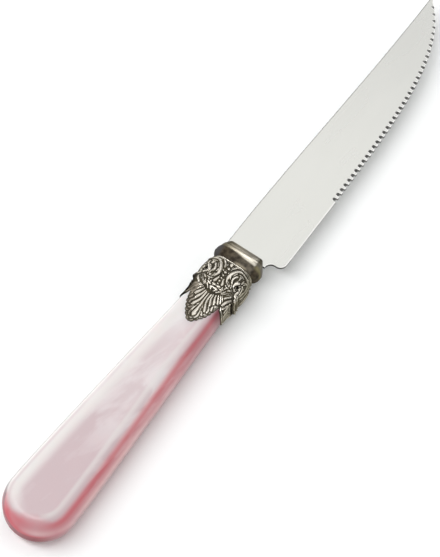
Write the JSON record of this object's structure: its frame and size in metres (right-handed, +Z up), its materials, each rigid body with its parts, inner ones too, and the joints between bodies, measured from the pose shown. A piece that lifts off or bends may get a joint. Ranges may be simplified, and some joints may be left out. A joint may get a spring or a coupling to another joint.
{
  "type": "steak knife",
  "caption": "Serrated table knife with a straight spine, a cast collar, an ornamental leaf-tipped ferrule and a pearly pink handle with two flat faces and a round butt.",
  "frame": {"origin": "on the table below the middle of the knife's box, with the knife lying on its handle and ferrule", "axes": "+X along the knife from the handle to the tip, +Y towards the spine, +Z up from the table"},
  "size_m": [0.2256, 0.0236, 0.0134],
  "materials": {
    "blade_steel": "bright polished stainless steel",
    "antique_silver": "cast white metal with an antique silver plating, dark in the hollows",
    "pearl_acrylic": "glossy pearly pink acrylic, pale on the flat faces and rose at the sides",
    "cement": "cured epoxy"
  },
  "bodies": {
    "root": {"blade": "blade_steel", "collar": "antique_silver", "ferrule": "antique_silver", "handle": "pearl_acrylic", "tang_cement": "cement"}
  },
  "joints": []
}
